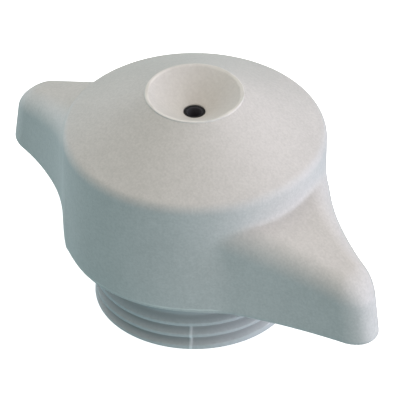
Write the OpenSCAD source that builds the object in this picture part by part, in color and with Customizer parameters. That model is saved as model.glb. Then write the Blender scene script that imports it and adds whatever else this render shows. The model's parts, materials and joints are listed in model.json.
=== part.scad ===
// Winged screw-in pour spout.
// Standing on its threaded neck: +Z is the pouring axis, the wings lie along X,
// and the origin is the centre of the neck's lower rim.

/* [Hub] */
// Diameter of the hub at its shoulder
hub_d = 44; // [43:0.5:46]
// Height of the hub's underside above the neck's rim
underside_z = 11.5; // [11.2:0.1:12]
// Height of the hub from its underside to the corner of its shoulder
hub_h = 21.5; // [21:0.1:22.5]
// How far the cone rises from the shoulder to the dish rim
cone_h = 7.8; // [7.4:0.1:8.2]
// How much the hub's radius shrinks from the shoulder to the underside
hub_draft = 0.3; // [0:0.1:0.6]
// Rounding of the shoulder
shoulder_r = 1.3; // [1:0.1:2]
// Rounding of the hub's lower edge
lower_r = 0.4; // [0.2:0.1:0.8]
// How much more the hub's radius shrinks over its last few millimetres
foot_taper = 0.5; // [0:0.1:0.8]

/* [Dish and port] */
// Diameter of the dish at its rim
dish_d = 15.8; // [15.2:0.1:16.2]
// Depth of the dish
dish_depth = 3.8; // [3.4:0.1:4.2]
// Diameter of the port, the hole in the dish's floor that the pour tube's nose fills
port_d = 3.5; // [3:0.1:4.2]
// Diameter of the nose's bore
nozzle_d = 2.5; // [2:0.1:2.8]

/* [Wings] */
// Distance from tip to tip
wing_span = 82.4; // [80:0.2:88]
// Height of the wing's top edge where it leaves the hub
wing_top_z = 28.3; // [27:0.1:30]
// Slope of the wing's top edge
wing_slope = 18.9; // [16:0.1:22]
// Half width of a wing at its tip, on its straight side
straight_w = 3.3; // [2.8:0.1:3.6]
// Angle of the straight side at the tip
straight_angle = 14.6; // [13:0.2:17]
// Half width of a wing at its tip, on its swept side
swept_w = 3.5; // [3.2:0.1:4]
// Curvature of the swept side
sweep = 0.014; // [0.012:0.0001:0.015]
// Wall thickness of the hollow wings
wing_wall = 2.2; // [1.8:0.1:2.6]

/* [Neck] */
// Major diameter of the external thread
thread_d = 33.25; // [33:0.05:33.5]
// Pitch of the thread, 11 turns to the inch
thread_pitch = 2.309; // [2.2:0.001:2.4]
// Depth of the thread
thread_depth = 1.48; // [1.2:0.01:1.5]
// Inner diameter of the neck
neck_bore = 26; // [25:0.1:26.4]

/* [Valve] */
// Diameter of the valve ball
ball_d = 6; // [5.6:0.1:6.2]
// How far the ball can rise off its seat
ball_travel = 2.6; // [2:0.1:2.8]

/* [Hidden] */
$fn = 96;
gap = 0.05;                          // radial clearance of parts pushed together
rib = 1.4;                           // thickness of every rib
hub_r = hub_d / 2;
shoulder_z = underside_z + hub_h;
rim_z = shoulder_z + cone_h;
rim_r = dish_d / 2;
port_r = port_d / 2;
nozzle_r = nozzle_d / 2;
cone_slope = atan(cone_h / (hub_r - rim_r));
foot_taper_h = 3;                    // height over which the hub's foot tapers
roof_h = 2.6;                        // thickness of the conical roof, measured upright

// Wings
wing_tip = wing_span / 2;
wing_edge = 4.1;                     // rounding of a wing's upper edges
wing_tip_edge = 3.3;                 // and at its tip
straight_bend = 0.006;               // how much the straight side curves
swept_flare = 0.043;                 // rise of the swept side's half width per millimetre

// Neck
thread_r = thread_d / 2;
core_r = thread_r - thread_depth;
bore_r = neck_bore / 2;
thread_base_z = 0.85;                // height of the ridge's middle over the +X axis
thread_low_turn = -0.86;
thread_open_turn = 0.04;             // up to here no groove is cut between the ridge and the rim
thread_top_turn = 2.5;
flange_z = underside_z + 1.2;
flange_top_z = flange_z + 1.5;
gasket_in_r = thread_r + 0.12;
gasket_drop = 0.3;                   // how far the gasket stands out below the hub

// Joint between cap and neck
cap_bore_r = 18.35;
spigot_r = cap_bore_r - gap;
spigot_wall = 1.9;
spigot_in_r = spigot_r - spigot_wall;
spigot_top_z = flange_z + 6.4;
snap_depth = 0.5;                    // bead on the neck and groove in the cap that lock them
snap_z = spigot_top_z - 1.9;
key_w = 2.4;                         // drive keys, which carry the wings' torque to the neck
key_depth = 3;
key_count = 4;

// Valve stack, from the bulkhead upwards
bulkhead_h = 1.6;
clip_z = flange_top_z + 0.6;
clip_h = 0.8;
plate_z = clip_z + clip_h;
plate_h = 1;
seat_z = plate_z + plate_h;
seat_h = 1.2;
seat_bore_r = 2;
cage_z = seat_z + seat_h;
ball_r = ball_d / 2;
ball_z = cage_z + sqrt(pow(ball_r, 2) - pow(seat_bore_r, 2)) + 0.02;
stop_z = ball_z + ball_r + ball_travel + 0.05;
cage_top_z = stop_z + 1;
chamber_r = 4.9;
tower_bore_r = 6.2;
tower_r = 7.8;
tower_top_z = cage_top_z + gap;
funnel_h = 1.4;                      // the tower narrows above the cage over this height

// Pour tube and its socket
tube_r = 3.5;
tube_bore_r = 2.3;
nose_recess = 0.1;                   // how far the nose's end lies below the dish's floor
socket_z = tower_top_z + funnel_h + 0.6;
socket_top_z = socket_z + 3;
socket_r = 5.7;
gland_r = tube_r + 1.12;             // groove round the tube for its ring
gland_h = 1.2;

// Dish insert and its seat in the cap
insert_r = rim_r + 0.35;
lip_rise = 0.15;                     // the dish's lip stands this much proud of the cone
dish_floor_z = rim_z - dish_depth;
port_land = 2.4;
tube_top_z = dish_floor_z - port_land;
dish_wall = 2.2;
step_z = dish_floor_z - 0.5;         // underside of the insert's shoulder
seal_h = 1.3;                        // squeezed height of the ring under the insert
ledge_top_z = step_z - seal_h;
ledge_h = 2;
ledge_r = 7.1;
collar_r = 10.8;
barb_z = ledge_top_z - ledge_h - gap;

// ---------------------------------------------------------------- helpers

function unit(v) = v / norm(v);

// The points that round corner b, between a and c, by radius r.
function corner(a, b, c, r, n = 6) =
    r == 0 ? [b] :
    let (u = unit(a - b), v = unit(c - b), half = acos(u * v) / 2,
         m = b + unit(u + v) * r / sin(half),
         s = b + u * r / tan(half) - m, e = b + v * r / tan(half) - m,
         a0 = atan2(s[1], s[0]), turn = atan2(s[0] * e[1] - s[1] * e[0], s * e))
    [for (i = [0:n]) m + r * [cos(a0 + turn * i / n), sin(a0 + turn * i / n)]];

// A closed outline from corners [x, y, rounding radius].
function outline(p) =
    let (n = len(p))
    [for (i = [0:n - 1])
        let (a = p[(i + n - 1) % n], b = p[i], c = p[(i + 1) % n])
        each corner([a[0], a[1]], [b[0], b[1]], [c[0], c[1]], b[2])];

module turned(corners) {
    rotate_extrude() polygon(outline(corners));
}

module ring(outer, inner, z, h) {
    translate([0, 0, z]) difference() {
        cylinder(r = outer, h = h);
        translate([0, 0, -1]) cylinder(r = inner, h = h + 2);
    }
}

module torus(major, minor, z) {
    translate([0, 0, z]) rotate_extrude() translate([major, 0]) circle(r = minor, $fn = 32);
}

module around(count) {
    for (i = [0:count - 1]) rotate([0, 0, 360 * i / count]) children();
}

// ---------------------------------------------------------------- winged cap

// Height of the cone's surface at radius r.
function cone_z(r) = rim_z - lip_rise - (r - rim_r) * tan(cone_slope);

module hub_shell() {
    collar_z = ledge_top_z - ledge_h;
    side_r = hub_r - hub_draft;
    turned([
        [cap_bore_r, underside_z, 0.3],
        [side_r - foot_taper, underside_z, lower_r],
        [side_r + hub_draft * foot_taper_h / hub_h, underside_z + foot_taper_h, 3],
        [hub_r, cone_z(hub_r), shoulder_r],
        [insert_r + gap, cone_z(insert_r + gap), 0],
        [insert_r + gap, ledge_top_z, 0],
        [ledge_r, ledge_top_z, 0],
        [ledge_r, collar_z, 0.2],
        [collar_r, collar_z, 0.4],
        [collar_r, cone_z(collar_r) - roof_h, 0.8],
        [cap_bore_r, cone_z(cap_bore_r) - roof_h, 1],
        [cap_bore_r, snap_z + snap_depth * 1.4, 0],
        [cap_bore_r + snap_depth, snap_z, 0],
        [cap_bore_r, snap_z - snap_depth * 1.4, 0],
    ]);
}

// A wing's half widths at distance u from the axis, on its straight and on its swept side.
function straight_side(u) =
    straight_w + (wing_tip - u) * tan(straight_angle) + pow(wing_tip - u, 2) * straight_bend;
function swept_side(u) =
    swept_w + (wing_tip - u) * swept_flare + pow(wing_tip - u, 2) * sweep;

// Height of a wing's top edge at distance u from the axis.
function wing_top(u) = wing_top_z - max(0, u - hub_r) * tan(wing_slope);

// Two posts with ball tops, which round the wing's edges, across the wing at distance u.
module wing_station(u, edge) {
    ball_at = wing_top(u) - edge / cos(wing_slope);
    for (v = [edge - straight_side(u), swept_side(u) - edge]) {
        translate([u, v, underside_z]) cylinder(r = edge, h = ball_at - underside_z, $fn = 24);
        translate([u, v, ball_at]) sphere(r = edge, $fn = 24);
    }
}

// One wing along +X, solid, from the hub's inside to the tip.
module wing_block() {
    stations = [15, 23, 31, wing_tip - wing_tip_edge];
    for (i = [0:2]) hull() {
        wing_station(stations[i], wing_edge);
        wing_station(stations[i + 1], i < 2 ? wing_edge : wing_tip_edge);
    }
}

// The hollow inside a wing, open below, with the ribs that stiffen it left out.
module wing_pocket() {
    ends = [15, 20, 25, 30, 35, wing_tip - wing_wall - 0.6];
    plan = concat([for (u = ends) [u, wing_wall - straight_side(u)]],
        [for (i = [len(ends) - 1:-1:0]) [ends[i], swept_side(ends[i]) - wing_wall]]);
    roof = wing_wall / cos(wing_slope);
    low = underside_z - 1;
    side = [[15, low], [wing_tip, low], [wing_tip, wing_top(wing_tip) - roof],
        [hub_r, wing_top_z - roof], [15, wing_top_z - roof]];
    rib_z = underside_z + 0.8;
    difference() {
        intersection() {
            translate([0, 0, low]) linear_extrude(wing_top_z) polygon(plan);
            translate([0, hub_r, 0]) rotate([90, 0, 0]) linear_extrude(2 * hub_r) polygon(side);
        }
        translate([0, 0, low - 1]) cylinder(r = cap_bore_r + wing_wall, h = wing_top_z);
        translate([hub_r - 3, -rib / 2, rib_z]) cube([wing_tip - hub_r, rib, wing_top_z]);
        translate([hub_r + 6, -hub_r, rib_z]) cube([rib, 2 * hub_r, wing_top_z]);
    }
}

module wing() {
    difference() {
        wing_block();
        translate([0, 0, underside_z - 2]) cylinder(r = cap_bore_r + 1, h = wing_top_z);
        wing_pocket();
    }
}

module winged_cap() {
    color("#d2cfca") {
        hub_shell();
        around(2) wing();
        around(key_count) rotate([0, 0, 45])
            translate([cap_bore_r - key_depth, -key_w / 2, flange_top_z + bulkhead_h + gap])
                cube([key_depth + 0.6, key_w, spigot_top_z - flange_top_z]);
    }
}

// ---------------------------------------------------------------- dish and pour tube

module dish_insert() {
    boss_r = 4.9;
    skirt_r = ledge_r - 0.1;
    skirt_in_r = 6.1;
    skirt_end_z = barb_z - 1.4;
    barb = 0.45;
    slope = dish_depth / (rim_r - port_r);
    color("#d9d6cf") difference() {
        turned([
            [port_r, dish_floor_z, 0],
            [rim_r, rim_z, 0.15],
            [insert_r, rim_z, 0.3],
            [insert_r, step_z, 0],
            [skirt_r, step_z, 0],
            [skirt_r, barb_z, 0],
            [skirt_r + barb, barb_z, 0],
            [skirt_r - 0.1, skirt_end_z, 0],
            [skirt_in_r, skirt_end_z, 0],
            [skirt_in_r, dish_floor_z + (skirt_in_r - port_r) * slope - dish_wall, 0],
            [boss_r, dish_floor_z + (boss_r - port_r) * slope - dish_wall, 0],
            [boss_r, socket_top_z + gap, 0],
            [tube_r + gap, socket_top_z + gap, 0],
            [tube_r + gap, tube_top_z, 0],
            [port_r, tube_top_z, 0],
        ]);
        around(4) translate([skirt_in_r - 1, -0.6, skirt_end_z - 1]) cube([4, 1.2, 4.2]);
    }
}

module dish_o_ring() {
    color("#202020") torus((insert_r + ledge_r - 0.05) / 2, seal_h / 2 - 0.01, ledge_top_z + seal_h / 2);
}

// Tube from the valve's socket to the port, with a narrower nose that fills the port.
module pour_tube() {
    nose_foot_z = tube_top_z - 0.6;
    color("#1c1c20") turned([
        [tube_bore_r, socket_z + gap, 0],
        [tube_r, socket_z + gap, 0.3],
        [tube_r, tube_top_z - gap, 0.2],
        [port_r - gap, tube_top_z - gap, 0],
        [port_r - gap, dish_floor_z - nose_recess, 0],
        [nozzle_r, dish_floor_z - nose_recess, 0],
        [nozzle_r, nose_foot_z, 0],
        [tube_bore_r, nose_foot_z - 1, 0],
    ]);
}

module tube_o_ring() {
    color("#202020")
        torus((tube_r + gland_r) / 2, (gland_r - tube_r) / 2 - 0.02, socket_top_z - gland_h / 2);
}

// ---------------------------------------------------------------- threaded neck

// The thread's ridge: a trapezium swept along a helix, which fades into the core at its top.
// Its first part reaches down past the rim, so the sliver of groove there stays solid.
module thread_ridge(steps = 48) {
    count = round(steps * (thread_top_turn - thread_low_turn));
    fade = steps / 8;
    sunk = 0.15;                     // how far the ridge's foot reaches into the core
    foot = thread_pitch * 0.97 / 2;
    crest = thread_pitch * 0.22 / 2;
    rings = [
        for (i = [0:count])
            let (turn = thread_low_turn + i / steps, k = min(1, (count - i) / fade),
                 z = thread_base_z + thread_pitch * turn, crest_r = core_r - 0.1 + (thread_depth + 0.1) * k,
                 drop = max(0, min(1, 1 - (turn - thread_open_turn) * 12)))
            for (p = [[core_r - sunk, z - foot - 1.5 * drop], [crest_r, z - crest - 1.9 * drop],
                [crest_r, z + crest], [core_r - sunk, z + foot]])
                [p[0] * cos(360 * turn), p[0] * sin(360 * turn), p[1]]
    ];
    sides = [
        for (i = [0:count - 1], j = [0:3])
            let (a = 4 * i + j, b = 4 * i + (j + 1) % 4)
            each [[a, b, b + 4], [a, b + 4, a + 4]]
    ];
    last = 4 * count;
    polyhedron(rings, concat(sides, [[3, 2, 1, 0], [last, last + 1, last + 2, last + 3]]));
}

// The thread runs out through the neck's lower rim, where a small bevel leads it in.
module thread() {
    lead_in = 0.2;
    intersection() {
        thread_ridge();
        rotate_extrude() polygon([[0, 0], [thread_r - lead_in, 0], [thread_r + 0.1, lead_in + 0.1],
            [thread_r + 0.1, underside_z], [0, underside_z]]);
    }
}

module neck_body() {
    turned([
        [bore_r, 0, 0],
        [core_r, 0, 0.3],
        [core_r, flange_z, 0],
        [spigot_r, flange_z, 0],
        [spigot_r, snap_z - snap_depth * 1.4, 0],
        [spigot_r + snap_depth, snap_z, 0],
        [spigot_r, snap_z + snap_depth * 1.4, 0],
        [spigot_r, spigot_top_z, 0.4],
        [spigot_in_r, spigot_top_z, 0.4],
        [spigot_in_r, flange_top_z, 0],
        [bore_r, flange_top_z, 0],
    ]);
}

module threaded_neck() {
    color("#cfcdc8") difference() {
        union() {
            neck_body();
            thread();
        }
        around(key_count) rotate([0, 0, 45])
            translate([spigot_in_r - 1, -key_w / 2 - 0.1, flange_top_z + bulkhead_h])
                cube([spigot_wall + 3, key_w + 0.2, spigot_top_z]);
    }
}

module neck_gasket() {
    color("#e4e4e0") ring(spigot_r, gasket_in_r,
        underside_z - gasket_drop, flange_z - underside_z + gasket_drop);
}

// ---------------------------------------------------------------- valve

// Bulkhead that closes the neck's bore, with the tower that holds the valve and the pour tube.
module valve_housing() {
    color("#dddbd4") {
        turned([
            [tower_bore_r, flange_top_z, 0.2],
            [spigot_in_r - gap, flange_top_z, 0],
            [spigot_in_r - gap, flange_top_z + bulkhead_h, 0.3],
            [tower_r, flange_top_z + bulkhead_h, 0.6],
            [tower_r, socket_z, 1.4],
            [socket_r, socket_z, 0],
            [socket_r, socket_top_z, 0.3],
            [gland_r, socket_top_z, 0],
            [gland_r, socket_top_z - gland_h, 0],
            [tube_r + gap, socket_top_z - gland_h, 0],
            [tube_r + gap, socket_z, 0],
            [tube_bore_r, socket_z, 0],
            [tube_bore_r, tower_top_z + funnel_h, 0],
            [chamber_r, tower_top_z, 0],
            [tower_bore_r, tower_top_z, 0],
            [tower_bore_r, clip_z + clip_h, 0],
            [tower_bore_r + 0.7, clip_z + clip_h, 0],
            [tower_bore_r + 0.7, clip_z, 0],
            [tower_bore_r, clip_z, 0],
        ]);
        around(6) rotate([90, 0, 0]) translate([0, 0, -rib / 2]) linear_extrude(rib) polygon([
            [tower_r - 0.3, flange_top_z + 1], [13.5, flange_top_z + 1],
            [13.5, flange_top_z + bulkhead_h + 0.5], [tower_r - 0.3, tower_top_z - 2]]);
    }
}

// Sleeve with four ribs that guide the ball and a slotted roof that stops it.
module valve_cage() {
    cage_r = tower_bore_r - gap;
    guide_r = ball_r + 0.25;
    color("#e2e1da") difference() {
        union() {
            ring(cage_r, chamber_r, cage_z, cage_top_z - cage_z);
            translate([0, 0, stop_z]) cylinder(r = cage_r, h = cage_top_z - stop_z);
            around(4) translate([guide_r - 0.4, -rib / 2, cage_z + 0.4])
                cube([chamber_r - guide_r + 0.8, rib, stop_z - cage_z]);
        }
        translate([0, 0, cage_z - 1]) cylinder(r = guide_r, h = stop_z - cage_z + 1);
        around(4) rotate([0, 0, 45]) translate([1.2, -1, stop_z - 1]) cube([chamber_r - 1.6, 2, 4]);
    }
}

module valve_ball() {
    color("silver") translate([0, 0, ball_z]) sphere(r = ball_r);
}

module valve_seat() {
    color("#d8d4c8") ring(tower_bore_r - gap, seat_bore_r, seat_z, seat_h);
}

// Washer under the seat, with a cross in its hole as a strainer.
module inlet_plate() {
    bar = 1;
    color("#e2e1da") {
        ring(tower_bore_r - gap, seat_bore_r, plate_z, plate_h);
        for (a = [45, 135]) rotate([0, 0, a]) translate([-seat_bore_r - 0.5, -bar / 2, plate_z])
            cube([2 * seat_bore_r + 1, bar, plate_h]);
    }
}

// Internal spring-steel ring with its open ends and tool eyes.
module retaining_clip() {
    in_r = tower_bore_r - 0.9;
    out_r = tower_bore_r + 0.6;
    eye_angle = 13;
    eye_r = 1.15;
    color("silver") translate([0, 0, clip_z + gap]) linear_extrude(clip_h - 2 * gap) difference() {
        union() {
            difference() {
                circle(r = out_r);
                circle(r = in_r);
            }
            for (side = [-1, 1]) rotate(side * eye_angle - 90) translate([in_r - 0.5, 0])
                circle(r = eye_r, $fn = 32);
        }
        rotate(-90) translate([0, -0.75]) square([out_r + 1, 1.5]);
        for (side = [-1, 1]) rotate(side * eye_angle - 90) translate([in_r - 0.5, 0])
            circle(r = 0.5, $fn = 24);
    }
}

winged_cap();
dish_insert();
dish_o_ring();
pour_tube();
tube_o_ring();
threaded_neck();
neck_gasket();
valve_housing();
valve_cage();
valve_ball();
valve_seat();
inlet_plate();
retaining_clip();
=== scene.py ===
"""Looks of the winged screw-in pour spout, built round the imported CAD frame.

Shapes are worked out in millimetres in the row's frame: +Z is the pouring axis, the wings lie
along X. The five outer pieces are meshed here, each in place of its CAD node. The inner ones are
the CAD's own solids with materials."""

import json
import math

import bpy
import numpy as np
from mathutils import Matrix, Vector


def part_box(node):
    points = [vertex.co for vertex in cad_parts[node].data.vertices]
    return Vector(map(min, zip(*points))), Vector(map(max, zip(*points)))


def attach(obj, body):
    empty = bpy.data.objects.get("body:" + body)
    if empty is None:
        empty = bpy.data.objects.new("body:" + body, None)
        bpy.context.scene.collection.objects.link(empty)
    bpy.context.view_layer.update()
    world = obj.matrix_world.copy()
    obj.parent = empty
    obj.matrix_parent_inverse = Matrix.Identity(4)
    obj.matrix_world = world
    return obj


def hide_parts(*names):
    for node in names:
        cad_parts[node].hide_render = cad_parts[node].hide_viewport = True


MM = 0.001

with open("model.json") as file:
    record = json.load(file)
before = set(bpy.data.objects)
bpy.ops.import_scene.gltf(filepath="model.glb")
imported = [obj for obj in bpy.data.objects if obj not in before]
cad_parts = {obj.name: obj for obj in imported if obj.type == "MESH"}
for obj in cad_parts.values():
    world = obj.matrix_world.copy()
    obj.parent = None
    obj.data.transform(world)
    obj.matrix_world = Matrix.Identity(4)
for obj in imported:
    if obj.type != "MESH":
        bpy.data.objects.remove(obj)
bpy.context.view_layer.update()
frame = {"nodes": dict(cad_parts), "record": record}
record = frame["record"]


# ---------------------------------------------------------------- places, from the frame

def box_mm(node):
    low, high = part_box(node)
    return [c / MM for c in low], [c / MM for c in high]


def mount(name):
    return next(m for m in record["mounts"] if m["name"] == name)


CAP_LOW, CAP_HIGH = box_mm("winged_cap")
INSERT_LOW, INSERT_HIGH = box_mm("dish_insert")
GASKET_LOW, GASKET_HIGH = box_mm("neck_gasket")
TUBE_LOW, TUBE_HIGH = box_mm("pour_tube")
RING_LOW, RING_HIGH = box_mm("dish_o_ring")

UNDERSIDE = CAP_LOW[2]
TIP = CAP_HIGH[0]
HUB_R = CAP_HIGH[1]
RIM_Z = INSERT_HIGH[2]
INSERT_R = INSERT_HIGH[0]
NOZZLE_R = mount("port")["dims"]["r_mm"]
FLOOR_Z = TUBE_HIGH[2] + 0.1
LEDGE_Z = RING_LOW[2]
THREAD_R = mount("neck_thread")["dims"]["r_mm"]
BORE_R = mount("neck_bore")["dims"]["r_mm"]
FLANGE_Z = GASKET_HIGH[2]
NECK_TOP = box_mm("threaded_neck")[1][2]

# ---------------------------------------------------------------- shape, in mm

CONE_RISE = 7.8
RIM_R = INSERT_R - 0.35
PORT_R = 1.85
SEAT_Z = FLOOR_Z - 2.4               # underside of the port's wall, where the tube's shoulder sits
LIP_WAVE = 0.16                      # unevenness of the dish's lip
LIP_WAVES = ((0.8, 1, 4.0), (0.4, 5, 1.0), (0.3, 11, 4.0), (0.2, 23, 0.0))   # size, count, phase
LIP_BURR, LIP_BURR_SHARPNESS = 2.0, 80   # a burr towards +X
HUB_DRAFT = 0.3
FOOT_TAPER, FOOT_TAPER_H = 0.2, 5.5  # the hub's wall draws in over its last few millimetres
SHOULDER_ROUND = 1.0
LOWER_ROUND = 0.6
HUB_HIGHLIGHT_Z = UNDERSIDE + 0.8            # a thin painted highlight line goes round the hub here
ROOF = 2.6
WALL = 2.2
TIP_WALL = 2.6
CAP_BORE_R = 18.35
COLLAR_R = 10.8
LEDGE_H = 2.0
LEDGE_IN_R = 7.1
GAP = 0.05

WING_REACH = TIP + 0.92              # where a tip would end without its plan rounding
WING_TOP_Z = 28.36
WING_SLOPE = math.radians(18.9)
WING_CREST = 1.0                     # the top levels off this far above WING_TOP_Z
WING_TILT = 0.066                    # the top rises this much towards the swept side
SIDE_SPREAD = 6.0                    # width over which one side's rounding turns into the other's
EDGE_STRAIGHT, EDGE_SWEPT = 3.9, 4.5     # rounding of its upper edges
EDGE_TIP = 0.8                       # how much smaller it gets at the tip
EDGE_TIP_START, EDGE_TIP_LENGTH = 4, 12  # where it does, counted from the hub
WING_PLAN_ROUND = 6.0
TIP_ROUND = 4.2
TIP_FOOT_ROUND = 0.8
TIP_DRAFT, TIP_SKEW = 0.165, 0.126
BLEND_TOP, BLEND_STRAIGHT, BLEND_SWEPT = 0.7, 1.7, 1.8   # fillets between wing and hub
BLEND_DROP, BLEND_DROP_H = 4, 6      # the top fillet turns into the side ones below WING_TOP_Z
STRAIGHT_HALF, STRAIGHT_TAN, STRAIGHT_BEND = 3.11, math.tan(math.radians(14.1)), 0.006
SWEPT_HALF, SWEPT_TAN, SWEPT_BEND = 3.47, math.tan(math.radians(1.3)), 0.014
SWEPT_LEAN = 0.018
BEND_LENGTH = 30                     # the sides bend over this length from the tip
ROOT_FLARE, ROOT_FLARE_U, ROOT_FLARE_LENGTH = 0.014, 26, 6
POCKET_ROUND, POCKET_TOP_ROUND, POCKET_TIP_ROUND = 0.8, 1.0, 0.6
RIB, RIB_ROUND = 1.4, 0.3
RIB_U = 6.7                          # where the cross rib stands, counted from the hub
RIB_RECESS = 0.8                     # the ribs end this far above the underside

THREAD_PITCH = 2.309
THREAD_DEPTH = 1.48
THREAD_BASE_Z = 0.85
THREAD_CREST, THREAD_FOOT = 0.22, 0.92   # widths of the ridge's crest and foot, in pitches
THREAD_CURVE = 0.4                   # share of the flank's height that is curved
THREAD_END = 2.5                     # turns, counted from the +X axis
THREAD_RUN_OUT = 0.125               # turns over which the ridge fades out there
THREAD_OPEN_TURN = 0.04              # up to here no groove is cut between the ridge and the rim
THREAD_OPEN_FADE = 1 / 12
PARTING_ANGLE = math.radians(-47.4)  # the mould's two halves meet here and opposite
PARTING_W, PARTING_SOFT = 0.5, 0.1
PARTING_H, PARTING_CREST_H = 0.22, 0.04  # its height in the grooves and on the crests
CREST_BAND = 0.3
PARTING_TOP, PARTING_FADE = 5.4, 2


# ---------------------------------------------------------------- field helpers

def round_max(a, b, r):
    """Intersection of two half spaces with the edge between them rounded by r."""
    outside = np.sqrt(np.maximum(a + r, 0) ** 2 + np.maximum(b + r, 0) ** 2)
    return np.minimum(np.maximum(a, b) + r, 0) + outside - r


def blend_min(a, b, k):
    """Union with a fillet about k wide."""
    h = np.maximum(k - np.abs(a - b), 0) / k
    return np.minimum(a, b) - h * h * k * 0.25


def polygon_field(r, z, points):
    """Signed distance to a polygon in the (r, z) plane, negative inside."""
    best = np.full(r.shape, 1e9)
    inside = np.zeros(r.shape, bool)
    count = len(points)
    for i in range(count):
        (ax, ay), (bx, by) = points[i], points[(i + 1) % count]
        ex, ey = bx - ax, by - ay
        wx, wy = r - ax, z - ay
        t = np.clip((wx * ex + wy * ey) / (ex * ex + ey * ey), 0, 1)
        best = np.minimum(best, (wx - ex * t) ** 2 + (wy - ey * t) ** 2)
        crosses = ((ay <= z) != (by <= z))
        if ey != 0:
            inside ^= crosses & (r < ax + (z - ay) * ex / ey)
    return np.where(inside, -1.0, 1.0) * np.sqrt(best)


# ---------------------------------------------------------------- the cap's field

SHOULDER_Z = RIM_Z - CONE_RISE
CONE_SLOPE = math.atan2(CONE_RISE, HUB_R - RIM_R)


def cone_z(r):
    return RIM_Z - (r - RIM_R) * math.tan(CONE_SLOPE)


def hub_field(r, z):
    cone = (z - RIM_Z) * math.cos(CONE_SLOPE) + (r - RIM_R) * math.sin(CONE_SLOPE)
    draft = math.atan2(HUB_DRAFT, SHOULDER_Z - UNDERSIDE)
    side = (r - HUB_R) * math.cos(draft) + (SHOULDER_Z - z) * math.sin(draft)
    low_down = np.clip((UNDERSIDE + FOOT_TAPER_H - z) / FOOT_TAPER_H, 0, 1)
    side = side + FOOT_TAPER * low_down ** 1.5
    return round_max(round_max(cone, side, SHOULDER_ROUND), UNDERSIDE - z, LOWER_ROUND)


def wing_sides(u, v, z):
    """Distances outside a wing's straight and swept sides."""
    from_tip = WING_REACH - u
    bend = np.clip(from_tip, 0, BEND_LENGTH)
    root = np.clip(ROOT_FLARE_U - u, 0, ROOT_FLARE_LENGTH)
    straight = STRAIGHT_HALF + from_tip * STRAIGHT_TAN + STRAIGHT_BEND * bend ** 2
    swept = SWEPT_HALF + (z - UNDERSIDE) * SWEPT_LEAN + from_tip * SWEPT_TAN
    swept = swept + SWEPT_BEND * bend ** 2 + ROOT_FLARE * root ** 2
    straight_slope = STRAIGHT_TAN + 2 * STRAIGHT_BEND * bend
    swept_slope = SWEPT_TAN + 2 * SWEPT_BEND * bend + 2 * ROOT_FLARE * root
    a = (-v - straight) / np.sqrt(1 + straight_slope ** 2)
    b = (v - swept) / np.sqrt(1 + swept_slope ** 2)
    return a, b


def swept_share(v):
    """0 on a wing's straight side, 1 on its swept side."""
    return np.clip(v / SIDE_SPREAD + 0.5, 0, 1)


def wing_top(u, v, z):
    """Distance above a wing's top, which falls towards the tip."""
    level = z - WING_TOP_Z - WING_TILT * v
    slope = math.tan(WING_SLOPE)
    sloped = (level + (u - HUB_R) * slope) / math.sqrt(1 + slope ** 2 + WING_TILT ** 2)
    return np.maximum(sloped, level - WING_CREST)


def wing_field(u, v, z):
    a, b = wing_sides(u, v, z)
    edge = EDGE_STRAIGHT + (EDGE_SWEPT - EDGE_STRAIGHT) * swept_share(v)
    edge = edge - EDGE_TIP * np.clip((u - HUB_R - EDGE_TIP_START) / EDGE_TIP_LENGTH, 0, 1)
    body = round_max(round_max(a, b, WING_PLAN_ROUND), wing_top(u, v, z), edge)
    end = u - WING_REACH + TIP_DRAFT * (z - UNDERSIDE) + TIP_SKEW * v
    end = end / math.hypot(1, TIP_DRAFT, TIP_SKEW)
    body = round_max(body, end, TIP_ROUND)
    return round_max(body, UNDERSIDE - z, TIP_FOOT_ROUND)


def pocket_field(u, v, z, r):
    """The hollow inside a wing, open below, with its ribs left out."""
    a, b = wing_sides(u, v, z)
    hollow = round_max(a + WALL, b + WALL, POCKET_ROUND)
    hollow = round_max(hollow, wing_top(u, v, z) + WALL, POCKET_TOP_ROUND)
    hollow = round_max(hollow, u - (TIP - TIP_WALL), POCKET_TIP_ROUND)
    hollow = round_max(hollow, CAP_BORE_R + WALL - r, POCKET_ROUND)
    along = np.abs(v) - RIB / 2
    across = np.abs(u - (HUB_R + RIB_U)) - RIB / 2
    rib = np.maximum(np.minimum(along, across), UNDERSIDE + RIB_RECESS - z)
    return round_max(hollow, -rib, RIB_ROUND)


def cap_field(x, y, z):
    r = np.sqrt(x * x + y * y)
    side = np.where(x < 0, -1.0, 1.0)
    u, v = x * side, y * side
    low_down = np.clip((WING_TOP_Z - BLEND_DROP - z) / BLEND_DROP_H, 0, 1)
    side_fillet = BLEND_STRAIGHT + (BLEND_SWEPT - BLEND_STRAIGHT) * swept_share(v)
    fillet = BLEND_TOP + (side_fillet - BLEND_TOP) * low_down
    solid = blend_min(hub_field(r, z), wing_field(u, v, z), fillet)
    solid = np.maximum(solid, UNDERSIDE - z)
    collar_z = LEDGE_Z - LEDGE_H
    below, above, past_axis = UNDERSIDE - 9, RIM_Z + 9, -1   # well outside the cap
    cavity = polygon_field(r, z, [
        (past_axis, below), (CAP_BORE_R, below), (CAP_BORE_R, cone_z(CAP_BORE_R) - ROOF),
        (COLLAR_R, cone_z(COLLAR_R) - ROOF), (COLLAR_R, collar_z), (LEDGE_IN_R, collar_z),
        (LEDGE_IN_R, LEDGE_Z), (INSERT_R, LEDGE_Z), (INSERT_R, above), (past_axis, above)])
    solid = np.maximum(solid, -cavity)
    return np.maximum(solid, -pocket_field(u, v, z, r))


# ---------------------------------------------------------------- meshing

HALVINGS = 12                        # steps that find where the surface cuts a grid edge
CENTRE_PULL = 0.06                   # holds a vertex where the planes leave it free to slide
SETTLING = 2                         # passes that move the vertices onto the surface


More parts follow.
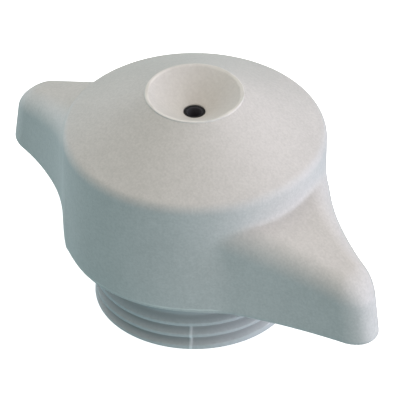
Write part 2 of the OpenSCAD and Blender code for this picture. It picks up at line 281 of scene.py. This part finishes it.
def gradient(field, p, step=0.02):
    """Unit normals of a field at points p, by central differences."""
    g = np.empty_like(p)
    for k in range(3):
        d = np.zeros(3)
        d[k] = step
        g[:, k] = field(*(p + d).T) - field(*(p - d).T)
    return g / np.maximum(np.linalg.norm(g, axis=1, keepdims=True), 1e-9)


def crossings(field, inside, axes, k):
    """Where the surface cuts the grid's edges along axis k: lower grid index, point and whether
    the lower end is inside."""
    low = [slice(None)] * 3
    high = [slice(None)] * 3
    low[k], high[k] = slice(None, -1), slice(1, None)
    index = np.argwhere(inside[tuple(low)] != inside[tuple(high)])
    start = np.stack([axes[c][index[:, c]] for c in range(3)], axis=1)
    starts_inside = inside[tuple(index.T)]
    a, b = np.zeros(len(index)), np.full(len(index), axes[k][1] - axes[k][0])
    for _ in range(HALVINGS):
        middle = (a + b) / 2
        p = start.copy()
        p[:, k] += middle
        same = (field(*p.T) < 0) == starts_inside
        a, b = np.where(same, middle, a), np.where(same, b, middle)
    point = start.copy()
    point[:, k] += (a + b) / 2
    return index, point, starts_inside


def contour(field, low, high, step):
    """Dual contouring: one vertex in each cell that the surface crosses, at the point that fits
    the surface's planes there, so sharp edges stay sharp. Returns vertices and quads."""
    axes = [np.arange(low[k], high[k] + step, step) for k in range(3)]
    shape = np.array([len(a) for a in axes])
    inside = field(*np.meshgrid(*axes, indexing="ij")) < 0
    cells, points, normals, quads = [], [], [], []
    for k in range(3):
        index, point, starts_inside = crossings(field, inside, axes, k)
        normal = gradient(field, point)
        i, j = (k + 1) % 3, (k + 2) % 3
        corners = []
        for di, dj in ((-1, -1), (0, -1), (0, 0), (-1, 0)):
            cell = index.copy()
            cell[:, i] += di
            cell[:, j] += dj
            corners.append(np.ravel_multi_index(cell.T, shape))
            points.append(point)
            normals.append(normal)
        quad = np.stack(corners, axis=1)
        cells.extend(corners)
        quads.append(np.where(starts_inside[:, None], quad, quad[:, ::-1]))
    cells, points = np.concatenate(cells), np.concatenate(points)
    normals, quads = np.concatenate(normals), np.concatenate(quads)
    used, cells = np.unique(cells, return_inverse=True)
    total = len(used)

    def gather(values):
        return np.bincount(cells, weights=values, minlength=total)

    count = gather(np.ones(len(cells)))
    centre = np.stack([gather(points[:, c]) for c in range(3)], axis=1) / count[:, None]
    offset = np.einsum("ij,ij->i", normals, points - centre[cells])
    matrix = np.empty((total, 3, 3))
    right = np.empty((total, 3))
    for a in range(3):
        right[:, a] = gather(normals[:, a] * offset)
        for b in range(3):
            matrix[:, a, b] = gather(normals[:, a] * normals[:, b])
    matrix += np.eye(3) * CENTRE_PULL
    shift = np.linalg.solve(matrix, right[:, :, None])[:, :, 0]
    vertices = centre + np.clip(shift, -step, step)
    for _ in range(SETTLING):
        value = field(*vertices.T)
        vertices -= np.clip(value, -step / 4, step / 4)[:, None] * gradient(field, vertices)
    return vertices, np.searchsorted(used, quads)


def mesh_object(name, vertices, faces, sharp=35):
    """A mesh object from vertices in mm and equal-sided faces, smooth but for its sharp edges."""
    mesh = bpy.data.meshes.new(name)
    sides = faces.shape[1]
    mesh.vertices.add(len(vertices))
    mesh.vertices.foreach_set("co", (np.asarray(vertices, np.float32) * MM).ravel())
    mesh.loops.add(faces.size)
    mesh.loops.foreach_set("vertex_index", faces.astype(np.int32).ravel())
    mesh.polygons.add(len(faces))
    mesh.polygons.foreach_set("loop_start", np.arange(0, faces.size, sides, dtype=np.int32))
    mesh.update(calc_edges=True)
    mesh.validate()
    mesh.shade_smooth()
    mesh.set_sharp_from_angle(angle=math.radians(sharp))
    thing = bpy.data.objects.new(name, mesh)
    bpy.context.scene.collection.objects.link(thing)
    return thing


def rounded(corners, steps=5):
    """A closed outline of (r, z) points from corners (r, z, rounding radius)."""
    out = []
    count = len(corners)
    for i in range(count):
        a, b, c = (np.array(corners[(i + k) % count][:2], float) for k in (-1, 0, 1))
        radius = corners[i][2]
        if radius == 0:
            out.append(b)
            continue
        to_a, to_c = (a - b) / np.linalg.norm(a - b), (c - b) / np.linalg.norm(c - b)
        half = math.acos(np.clip(to_a @ to_c, -1, 1)) / 2
        middle = b + (to_a + to_c) / np.linalg.norm(to_a + to_c) * radius / math.sin(half)
        first = b + to_a * radius / math.tan(half) - middle
        last = b + to_c * radius / math.tan(half) - middle
        turn = math.atan2(first[0] * last[1] - first[1] * last[0], first @ last)
        for k in range(steps + 1):
            s, t = math.sin(turn * k / steps), math.cos(turn * k / steps)
            out.append(middle + np.array([first[0] * t - first[1] * s, first[0] * s + first[1] * t]))
    return np.array(out)


def subdivided(outline, longest):
    """The same outline with no stretch longer than longest."""
    out = []
    for a, b in zip(outline, np.roll(outline, -1, axis=0)):
        pieces = max(1, math.ceil(np.linalg.norm(b - a) / longest))
        out.extend(a + (b - a) * k / pieces for k in range(pieces))
    return np.array(out)


def swept_grid(rings):
    """Faces of a torus-like grid whose rows are rings round Z, both ways closed."""
    around, along = rings.shape[:2]
    i, j = np.meshgrid(np.arange(around), np.arange(along), indexing="ij")
    i2, j2 = (i + 1) % around, (j + 1) % along
    faces = np.stack([i * along + j, i2 * along + j, i2 * along + j2, i * along + j2], axis=-1)
    return rings.reshape(-1, 3), faces.reshape(-1, 4)


def lathe(name, outline, segments=192, sharp=35, change=None):
    """A solid of revolution from a closed outline given anticlockwise in (r, z). change(angle, r, z)
    may move its points."""
    angle = (np.arange(segments) / segments * 2 * math.pi)[:, None]
    r = np.broadcast_to(outline[:, 0], (segments, len(outline)))
    z = np.broadcast_to(outline[:, 1], r.shape)
    if change:
        r, z = change(angle, r, z)
    rings = np.stack([np.cos(angle) * r, np.sin(angle) * r, z], axis=-1)
    return mesh_object(name, *swept_grid(rings), sharp=sharp)


# ---------------------------------------------------------------- pieces

def make_cap():
    margin = 0.9
    low = [-TIP - margin, -HUB_R - margin, UNDERSIDE - margin]
    high = [TIP + margin, HUB_R + margin, RIM_Z + margin]
    step = 0.42
    vertices, quads = contour(cap_field, low, high, step)
    return mesh_object("cap_shell", vertices, quads, sharp=32)


def make_insert():
    """The dish: a rounded lip, slightly uneven where it was trimmed, a shallow cone and the port."""
    slope = (RIM_Z - FLOOR_Z) / (RIM_R - PORT_R)
    step_z, skirt_z = RING_HIGH[2], INSERT_LOW[2]
    skirt_r, skirt_in_r, boss_r = LEDGE_IN_R - 0.1, 6.1, 4.9
    barb, barb_z = 0.45, skirt_z + 1.4
    seat_r = TUBE_HIGH[0] + GAP
    boss_z = skirt_z + GAP
    outline = subdivided(rounded([
        (PORT_R, FLOOR_Z, 0.2),
        (PORT_R, SEAT_Z, 0),
        (seat_r, SEAT_Z, 0),
        (seat_r, boss_z, 0),
        (boss_r, boss_z, 0),
        (boss_r, FLOOR_Z + (boss_r - PORT_R) * slope - WALL, 0),
        (skirt_in_r, FLOOR_Z + (skirt_in_r - PORT_R) * slope - WALL, 0),
        (skirt_in_r, skirt_z, 0),
        (skirt_r - 0.1, skirt_z, 0),
        (skirt_r + barb, barb_z, 0),
        (skirt_r, barb_z, 0),
        (skirt_r, step_z, 0),
        (INSERT_R, step_z, 0),
        (INSERT_R, RIM_Z, 0.17),
        (RIM_R, RIM_Z, 0.3),
    ]), 0.5)

    def uneven(angle, r, z):
        near_top = np.clip((z - RIM_Z + 0.8) / 0.6, 0, 1)
        near_lip = near_top * np.clip((INSERT_R - GAP - r) / 0.2, 0, 1)
        wave = sum(size * np.sin(count * angle + phase) for size, count, phase in LIP_WAVES)
        burr = LIP_BURR * (0.5 + 0.5 * np.cos(angle)) ** LIP_BURR_SHARPNESS
        return r - LIP_WAVE * near_lip * (wave + burr), z

    return lathe("dish_insert_piece", outline, segments=288, change=uneven)


def thread_radius(angle, z):
    """The neck's outer radius: a helical ridge on the core, the sliver of groove below its first
    part left solid, and the mould's parting line."""
    turn = angle / (2 * math.pi)
    phase = (z - THREAD_BASE_Z) / THREAD_PITCH - turn
    nearest = np.round(phase)
    away = np.abs(phase - nearest) * THREAD_PITCH
    crest, foot = THREAD_CREST * THREAD_PITCH / 2, THREAD_FOOT * THREAD_PITCH / 2
    height = np.clip((foot - away) / (foot - crest), 0, 1)
    curved = height * height * (3 - 2 * height)
    height = height * (1 - THREAD_CURVE) + curved * THREAD_CURVE
    run_out = np.clip((THREAD_END - nearest - turn) / THREAD_RUN_OUT, 0, 1)
    radius = THREAD_R - THREAD_DEPTH * (1 - height * run_out)
    first_turn = np.mod(turn + 0.5, 1) - 0.5
    below_ridge = z < THREAD_BASE_Z + THREAD_PITCH * first_turn
    filled = np.clip(1 - (first_turn - THREAD_OPEN_TURN) / THREAD_OPEN_FADE, 0, 1) * below_ridge
    radius = radius + (THREAD_R - radius) * filled
    quarter = math.pi / 2
    off_line = np.abs(np.mod(angle - PARTING_ANGLE + quarter, math.pi) - quarter) * THREAD_R
    on_line = np.clip((PARTING_W / 2 + PARTING_SOFT - off_line) / (2 * PARTING_SOFT), 0, 1)
    on_line = on_line * np.clip((PARTING_TOP - z) / PARTING_FADE, 0, 1)
    on_crest = radius > THREAD_R - CREST_BAND
    return radius + on_line * np.where(on_crest, PARTING_CREST_H, PARTING_H)


def make_neck():
    around = 720
    row_step, chamfer = 0.11, 0.4
    rows = np.concatenate([np.arange(0.1, FLANGE_Z - 0.3, row_step), [FLANGE_Z - 0.2]])
    angle = (np.arange(around) / around * 2 * math.pi)[:, None]
    outer = thread_radius(angle, rows[None, :])
    outer = np.minimum(outer, THREAD_R - GAP + rows[None, :])
    core_r = THREAD_R - THREAD_DEPTH
    spigot_r = CAP_BORE_R - GAP
    inner_r = spigot_r - 1.9
    flange_top = FLANGE_Z + 1.5
    tail = [(core_r, FLANGE_Z), (spigot_r, FLANGE_Z),
            (spigot_r, NECK_TOP - chamfer), (spigot_r - chamfer, NECK_TOP),
            (inner_r + chamfer, NECK_TOP), (inner_r, NECK_TOP - chamfer), (inner_r, flange_top),
            (BORE_R, flange_top), (BORE_R, flange_top - 5), (BORE_R, 5), (BORE_R, 0.35),
            (BORE_R + 0.1, 0.1), (BORE_R + 0.35, 0)]
    foot = np.minimum(outer[:, :1], THREAD_R - 0.12)
    fixed = np.array(tail)
    r = np.concatenate([foot, outer, np.broadcast_to(fixed[:, 0], (around, len(tail)))], axis=1)
    z = np.concatenate([[0], rows, fixed[:, 1]])
    z = np.broadcast_to(z, r.shape)
    rings = np.stack([np.cos(angle) * r, np.sin(angle) * r, z], axis=-1)
    return mesh_object("threaded_neck_piece", *swept_grid(rings), sharp=50)


def make_gasket():
    outer_r, inner_r = GASKET_HIGH[0], THREAD_R + 0.12
    bottom, top = GASKET_LOW[2], GASKET_HIGH[2]
    outline = rounded([
        (outer_r, bottom, 0.25), (outer_r, top, 0), (inner_r, top, 0), (inner_r, bottom, 0.25)])
    return lathe("neck_gasket_piece", subdivided(outline, 0.6))


def make_tube():
    """The black pour tube, whose nose fills the port."""
    outer, inner = TUBE_HIGH[0], 2.3
    nose_r = PORT_R - GAP
    foot_z = SEAT_Z - 0.6
    outline = rounded([
        (inner, TUBE_LOW[2], 0.15),
        (outer, TUBE_LOW[2], 0.3),
        (outer, SEAT_Z - GAP, 0.2),
        (nose_r, SEAT_Z - GAP, 0),
        (nose_r, TUBE_HIGH[2], 0.08),
        (NOZZLE_R, TUBE_HIGH[2], 0.15),
        (NOZZLE_R, foot_z, 0),
        (inner, foot_z - 1, 0),
    ])
    return lathe("pour_tube_piece", subdivided(outline, 0.8), segments=96)


# ---------------------------------------------------------------- materials

class Nodes:
    """A short way to build one material's node tree."""

    def __init__(self, name):
        self.material = bpy.data.materials.new(name)
        self.material.use_nodes = True
        self.tree = self.material.node_tree
        self.tree.nodes.clear()
        self.output = self.add("ShaderNodeOutputMaterial")
        self.shader = self.add("ShaderNodeBsdfPrincipled")
        self.link(self.shader, "BSDF", self.output, "Surface")
        self.place = self.add("ShaderNodeTexCoord")

    def add(self, kind, **values):
        node = self.tree.nodes.new(kind)
        for key, value in values.items():
            if key in node.inputs:
                node.inputs[key].default_value = value
            else:
                setattr(node, key, value)
        return node

    def link(self, a, out, b, into):
        self.tree.links.new(a.outputs[out], b.inputs[into])

    def noise(self, scale, detail=3.0, roughness=0.5, distortion=0.0):
        node = self.add("ShaderNodeTexNoise", Scale=scale, Detail=detail, Roughness=roughness,
                        Distortion=distortion)
        self.link(self.place, "Object", node, "Vector")
        return node

    def spread(self, node, out, low, high, from_low=0.3, from_high=0.7):
        scaled = self.add("ShaderNodeMapRange")
        scaled.inputs["From Min"].default_value = from_low
        scaled.inputs["From Max"].default_value = from_high
        scaled.inputs["To Min"].default_value = low
        scaled.inputs["To Max"].default_value = high
        self.link(node, out, scaled, "Value")
        return scaled

    def tint(self, factor, out, dark, light):
        mix = self.add("ShaderNodeMix", data_type="RGBA")
        mix.inputs["A"].default_value = (*dark, 1)
        mix.inputs["B"].default_value = (*light, 1)
        self.link(factor, out, mix, "Factor")
        self.tree.links.new(mix.outputs["Result"], self.shader.inputs["Base Color"])
        return mix

    def math(self, operation, *values):
        """A math node fed by numbers and by (node, output) pairs."""
        node = self.add("ShaderNodeMath", operation=operation)
        for k, value in enumerate(values):
            if isinstance(value, tuple):
                self.tree.links.new(value[0].outputs[value[1]], node.inputs[k])
            else:
                node.inputs[k].default_value = value
        return node, "Value"

    def measure(self, operation, vector):
        """Length of, or dot product with, the object position scaled by or against a vector."""
        first = "MULTIPLY" if operation == "LENGTH" else operation
        node = self.add("ShaderNodeVectorMath", operation=first)
        self.link(self.place, "Object", node, 0)
        node.inputs[1].default_value = vector
        if operation != "LENGTH":
            return node, "Value"
        length = self.add("ShaderNodeVectorMath", operation="LENGTH")
        self.link(node, "Vector", length, 0)
        return length, "Value"

    def band(self, place, centre, half, wobble, faintest):
        """1 where a place in metres is within half of centre, both in mm, with soft ragged edges
        and fainter stretches."""
        ragged = self.noise(900, 2)
        shift = self.math("MULTIPLY_ADD", (ragged, "Fac"), 2 * wobble * MM, -(centre + wobble) * MM)
        off = self.math("ABSOLUTE", self.math("ADD", place, shift))
        inside = self.spread(off[0], "Value", 1, 0, half * 0.6 * MM, half * 1.4 * MM)
        strength = self.spread(self.noise(190, 1), "Fac", faintest, 1, 0.35, 0.6)
        return self.math("MULTIPLY", (inside, "Result"), (strength, "Result"))

    def overlay(self, mix, mask, colour):
        """Mixes another colour over a tint where the mask is 1."""
        over = self.add("ShaderNodeMix", data_type="RGBA")
        self.tree.links.new(mask[0].outputs[mask[1]], over.inputs["Factor"])
        self.tree.links.new(mix.outputs["Result"], over.inputs["A"])
        over.inputs["B"].default_value = (*colour, 1)
        self.tree.links.new(over.outputs["Result"], self.shader.inputs["Base Color"])
        return over

    def bumps(self, layers):
        """Stacks bump layers, each (node, output, distance in metres, strength)."""
        last = None
        for node, out, distance, strength in layers:
            bump = self.add("ShaderNodeBump", Distance=distance, Strength=strength)
            self.link(node, out, bump, "Height")
            if last:
                self.link(last, "Normal", bump, "Normal")
            last = bump
        self.link(last, "Normal", self.shader, "Normal")


def fade(n, place, low, high, start, end):
    """Goes from start to end while a place in metres goes from low to high, both in mm."""
    return n.spread(place[0], place[1], start, end, low * MM, high * MM), "Result"


def height_of(n):
    return n.measure("DOT_PRODUCT", (0, 0, 1))


def radius_of(n):
    return n.measure("LENGTH", (1, 1, 0))


def hub_edge_highlight(n):
    """A painted highlight round the hub, a little above its lower edge."""
    height = height_of(n)
    on_hub = fade(n, radius_of(n), HUB_R + 0.1, HUB_R + 0.5, 1, 0)
    line = n.band(height, HUB_HIGHLIGHT_Z, 0.13, 0.12, 0.2)
    return n.math("MULTIPLY", line, on_hub)


def dish_lip_highlight(n):
    """A painted highlight along the dish's trimmed edge, fainter in places."""
    return n.band(radius_of(n), RIM_R + 0.02, 0.3, 0.14, 0.15)


def bore_wall(n):
    """The inside of the pour tube, a little greyer than its skin."""
    return fade(n, radius_of(n), NOZZLE_R + 0.02, NOZZLE_R + 0.08, 1, 0)


def parting_line(n):
    """The neck's parting line, which fades towards the hub."""
    across = n.measure("DOT_PRODUCT", (-math.sin(PARTING_ANGLE), math.cos(PARTING_ANGLE), 0))
    low_down = fade(n, height_of(n), PARTING_TOP - PARTING_FADE, PARTING_TOP, 1, 0)
    return n.math("MULTIPLY", n.band(across, 0, PARTING_W / 2, 0.03, 0.7), low_down)


def painted_groove_shade(n):
    """Painted shade in the thread's grooves and on the bare core under the hub."""
    core_r = THREAD_R - THREAD_DEPTH
    out = radius_of(n)
    deep = fade(n, out, core_r + 0.5, core_r + 1.1, 1, 0)
    outside = fade(n, out, core_r - 0.6, core_r - 0.3, 0, 1)
    off_rim = fade(n, height_of(n), 0.1, 0.4, 0, 1)
    return n.math("MULTIPLY", n.math("MULTIPLY", deep, outside), off_rim)


def plastic(name, dark, light, roughness, grain_scale, grain_depth, sheen=0.4, marks=()):
    """Moulded plastic: fine surface grain, a slow waviness, cloudy tone and gloss, and marks, each
    a function that gives its mask and a colour."""
    n = Nodes(name)
    cloud = n.noise(70, 3)
    mottle = n.noise(420, 4, 0.6)
    specks = n.noise(1300, 3, 0.6)
    grain = n.noise(grain_scale, 2)
    wave = n.noise(130, 1)
    tone = n.math("MULTIPLY_ADD", (mottle, "Fac"), 0.6, (cloud, "Fac"))
    tone = n.math("MULTIPLY_ADD", (specks, "Fac"), 0.8, tone)
    tone = n.math("MULTIPLY_ADD", (grain, "Fac"), 1.2, tone)
    factor = n.spread(tone[0], "Value", 0, 1, 1.42, 2.18)
    mix = n.tint(factor, "Result", dark, light)
    for mark, colour in marks:
        mix = n.overlay(mix, mark(n), colour)
    gloss = n.spread(mottle, "Fac", roughness - 0.05, roughness + 0.05)
    n.link(gloss, "Result", n.shader, "Roughness")
    n.shader.inputs["Specular IOR Level"].default_value = sheen
    n.bumps([(wave, "Fac", 0.00008, 0.35), (grain, "Fac", grain_depth, 0.5)])
    return n.material


def metal(name, dark, light, roughness, brush=0):
    n = Nodes(name)
    cloud = n.noise(300, 3)
    n.tint(n.spread(cloud, "Fac", 0, 1), "Result", dark, light)
    n.shader.inputs["Metallic"].default_value = 1.0
    fine = n.noise(2600, 3, 0.6, brush)
    n.link(n.spread(fine, "Fac", roughness * 0.7, roughness * 1.4), "Result", n.shader, "Roughness")
    n.bumps([(fine, "Fac", 0.00001, 0.3)])
    return n.material


MATERIALS = {
    "cap_plastic": plastic(
        "cap_plastic", (0.585, 0.58, 0.56), (0.675, 0.665, 0.645), 0.52, 2600, 0.00003,
        # the pale band round the hub's lower edge is a painted highlight
        marks=[(hub_edge_highlight, (0.80, 0.80, 0.77))]),
    "dish_plastic": plastic(
        "dish_plastic", (0.64, 0.63, 0.605), (0.71, 0.70, 0.675), 0.48, 2200, 0.00003,
        # the pale band on the dish's lip is a painted highlight
        marks=[(dish_lip_highlight, (0.84, 0.83, 0.80))]),
    "neck_plastic": plastic(
        "neck_plastic", (0.56, 0.57, 0.57), (0.63, 0.64, 0.64), 0.46, 2400, 0.00002),
    "neck_moulding": plastic(
        "neck_moulding", (0.56, 0.57, 0.57), (0.63, 0.64, 0.64), 0.46, 2400, 0.00002,
        # the darker colour in the grooves and under the hub is painted shade
        marks=[(painted_groove_shade, (0.51, 0.52, 0.52)), (parting_line, (0.86, 0.86, 0.86))]),
    "valve_plastic": plastic(
        "valve_plastic", (0.66, 0.65, 0.60), (0.74, 0.73, 0.68), 0.42, 2400, 0.00002),
    "tube_plastic": plastic(
        "tube_plastic", (0.010, 0.011, 0.014), (0.018, 0.019, 0.023), 0.5, 2400, 0.00002, 0.15,
        marks=[(bore_wall, (0.10, 0.10, 0.12))]),
    "seal_rubber": plastic(
        "seal_rubber", (0.018, 0.018, 0.02), (0.034, 0.034, 0.036), 0.7, 3200, 0.00004, 0.3),
    "gasket_silicone": plastic(
        "gasket_silicone", (0.60, 0.62, 0.61), (0.70, 0.72, 0.71), 0.6, 1800, 0.00003),
    "seat_silicone": plastic(
        "seat_silicone", (0.62, 0.59, 0.50), (0.72, 0.69, 0.60), 0.6, 1800, 0.00003),
    "ball_steel": metal("ball_steel", (0.66, 0.66, 0.67), (0.76, 0.76, 0.77), 0.12),
    "clip_steel": metal("clip_steel", (0.52, 0.52, 0.53), (0.64, 0.64, 0.65), 0.32, 1.5),
}

SLOTS = {s["node"]: s["material_slot"] for s in record["subparts"]}
LOOKS = {"threaded_neck": "neck_moulding"}       # slots shared by pieces that don't look the same


def paint(thing, slot):
    thing.data.materials.clear()
    thing.data.materials.append(MATERIALS[slot])


MADE = [
    (make_cap, "winged_cap"),
    (make_insert, "dish_insert"),
    (make_neck, "threaded_neck"),
    (make_gasket, "neck_gasket"),
    (make_tube, "pour_tube"),
]
replaced = set()
for make, node in MADE:
    piece = make()
    paint(piece, LOOKS.get(node, SLOTS[node]))
    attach(piece, "spout")
    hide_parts(node)
    replaced.add(node)

for node, thing in frame["nodes"].items():
    if node not in replaced:
        if not thing.material_slots:
            thing.data.materials.append(None)
        for place in thing.material_slots:
            place.link = "OBJECT"
            place.material = MATERIALS[SLOTS[node]]


# ---------------------------------------------------------------- stage, light and camera

def camera_only(thing):
    """Keeps a stage piece from lighting the object or showing in its gloss."""
    thing.visible_diffuse = False
    thing.visible_glossy = False
    thing.visible_transmission = False
    thing.visible_shadow = False


def paper(name):
    """Evenly lit pale paper."""
    n = Nodes(name)
    n.tint(n.noise(4), "Fac", (0.93, 0.93, 0.93), (0.97, 0.97, 0.97))
    n.shader.inputs["Emission Color"].default_value = (1, 1, 1, 1)
    n.shader.inputs["Emission Strength"].default_value = 1.0
    n.shader.inputs["Specular IOR Level"].default_value = 0.0
    return n


def make_stage():
    """A pale floor, seen from above only, so that a view from below isn't blocked, and a dome."""
    half = 2.4 / MM
    corners = np.array([(-half, -half, 0), (half, -half, 0), (half, half, 0), (-half, half, 0)])
    floor = mesh_object("floor", corners, np.array([[0, 1, 2, 3]]))
    floor.location.z = -0.2 * MM         # just clear of the neck's rim
    n = paper("floor_paper")
    side = n.add("ShaderNodeNewGeometry")
    clear = n.add("ShaderNodeBsdfTransparent")
    mix = n.add("ShaderNodeMixShader")
    n.link(side, "Backfacing", mix, "Fac")
    n.tree.links.new(n.shader.outputs["BSDF"], mix.inputs[1])
    n.tree.links.new(clear.outputs["BSDF"], mix.inputs[2])
    n.link(mix, "Shader", n.output, "Surface")
    floor.data.materials.append(n.material)
    dome_r = 2.6 / MM
    turn = np.linspace(-math.pi / 2, math.pi / 2, 25)
    arc = np.stack([np.cos(turn) * dome_r, np.sin(turn) * dome_r], axis=1)
    dome = lathe("dome", arc, segments=48)
    dome.data.materials.append(paper("dome_paper").material)
    for thing in (floor, dome):
        camera_only(thing)


LIGHT_DISTANCE, LIGHT_SIZE = 0.9, 0.5    # in metres, as the camera's values are


def add_light(name, azimuth, elevation, power, colour):
    """A square soft light aimed at the object, at an azimuth anticlockwise from +X."""
    lamp = bpy.data.lights.new(name, "AREA")
    lamp.size = LIGHT_SIZE
    lamp.energy = power
    lamp.color = colour
    thing = bpy.data.objects.new(name, lamp)
    a, e = math.radians(azimuth), math.radians(elevation)
    toward = Vector((math.cos(a) * math.cos(e), math.sin(a) * math.cos(e), math.sin(e)))
    thing.location = toward * LIGHT_DISTANCE
    thing.rotation_euler = (-thing.location).to_track_quat("-Z", "Y").to_euler()
    bpy.context.scene.collection.objects.link(thing)


def make_world(stops, strength):
    """Soft light from all round, whose colour changes with height: stops are (height from -1 for
    straight below to 1 for straight above, colour)."""
    world = bpy.data.worlds.new("studio")
    world.use_nodes = True
    tree = world.node_tree
    back = tree.nodes["Background"]
    place = tree.nodes.new("ShaderNodeTexCoord")
    split = tree.nodes.new("ShaderNodeSeparateXYZ")
    level = tree.nodes.new("ShaderNodeMapRange")
    ramp = tree.nodes.new("ShaderNodeValToRGB")
    level.inputs["From Min"].default_value = -1
    tree.links.new(place.outputs["Generated"], split.inputs["Vector"])
    tree.links.new(split.outputs["Z"], level.inputs["Value"])
    tree.links.new(level.outputs["Result"], ramp.inputs["Fac"])
    tree.links.new(ramp.outputs["Color"], back.inputs["Color"])
    back.inputs["Strength"].default_value = strength
    while len(ramp.color_ramp.elements) < len(stops):
        ramp.color_ramp.elements.new(0.5)
    for element, (height, colour) in zip(ramp.color_ramp.elements, stops):
        element.position = (height + 1) / 2
        element.color = (*colour, 1)
    bpy.context.scene.world = world


VIEW_AZIMUTH = math.radians(44.8)
VIEW_ELEVATION = math.radians(37.2)
VIEW_DISTANCE = 1.4325
VIEW_WIDTH = 0.066467                # width in sight at the aim
AIM_HEIGHT, AIM_RIGHT, AIM_DOWN = 0.02, 0.00092, 0.00113


def make_camera():
    level = math.cos(VIEW_ELEVATION)
    toward = Vector((math.sin(VIEW_AZIMUTH) * level, -math.cos(VIEW_AZIMUTH) * level,
                     math.sin(VIEW_ELEVATION)))
    right = Vector((math.cos(VIEW_AZIMUTH), math.sin(VIEW_AZIMUTH), 0))
    up = toward.cross(right)
    aim = Vector((0, 0, AIM_HEIGHT)) + right * AIM_RIGHT - up * AIM_DOWN
    camera = bpy.data.cameras.new("camera")
    camera.lens = camera.sensor_width * VIEW_DISTANCE / VIEW_WIDTH
    camera.clip_end = 40
    thing = bpy.data.objects.new("camera", camera)
    thing.location = aim + toward * VIEW_DISTANCE
    thing.rotation_euler = (-toward).to_track_quat("-Z", "Y").to_euler()
    bpy.context.scene.collection.objects.link(thing)
    bpy.context.scene.camera = thing


make_stage()
# The light is tinted, not neutral: cool from the sides and below, warm from above.
make_world([(-1, (0.60, 0.72, 0.74)), (-0.4, (0.40, 0.69, 0.73)), (0, (0.34, 0.63, 0.75)),
            (1, (1.0, 0.74, 0.58))], 0.57)
add_light("right_front", 0, 5, 2.1, (0.97, 0.94, 1.0))
add_light("right", 45, 5, 2.84, (0.95, 0.81, 1.0))
add_light("right_above", 45, 35, 2.78, (0.94, 0.96, 1.0))
add_light("left_back", 180, 5, 1.76, (0.81, 0.88, 1.0))
add_light("left_above", 180, 62, 1.84, (0.94, 1.0, 0.95))
make_camera()

bpy.context.scene.view_settings.view_transform = "Standard"
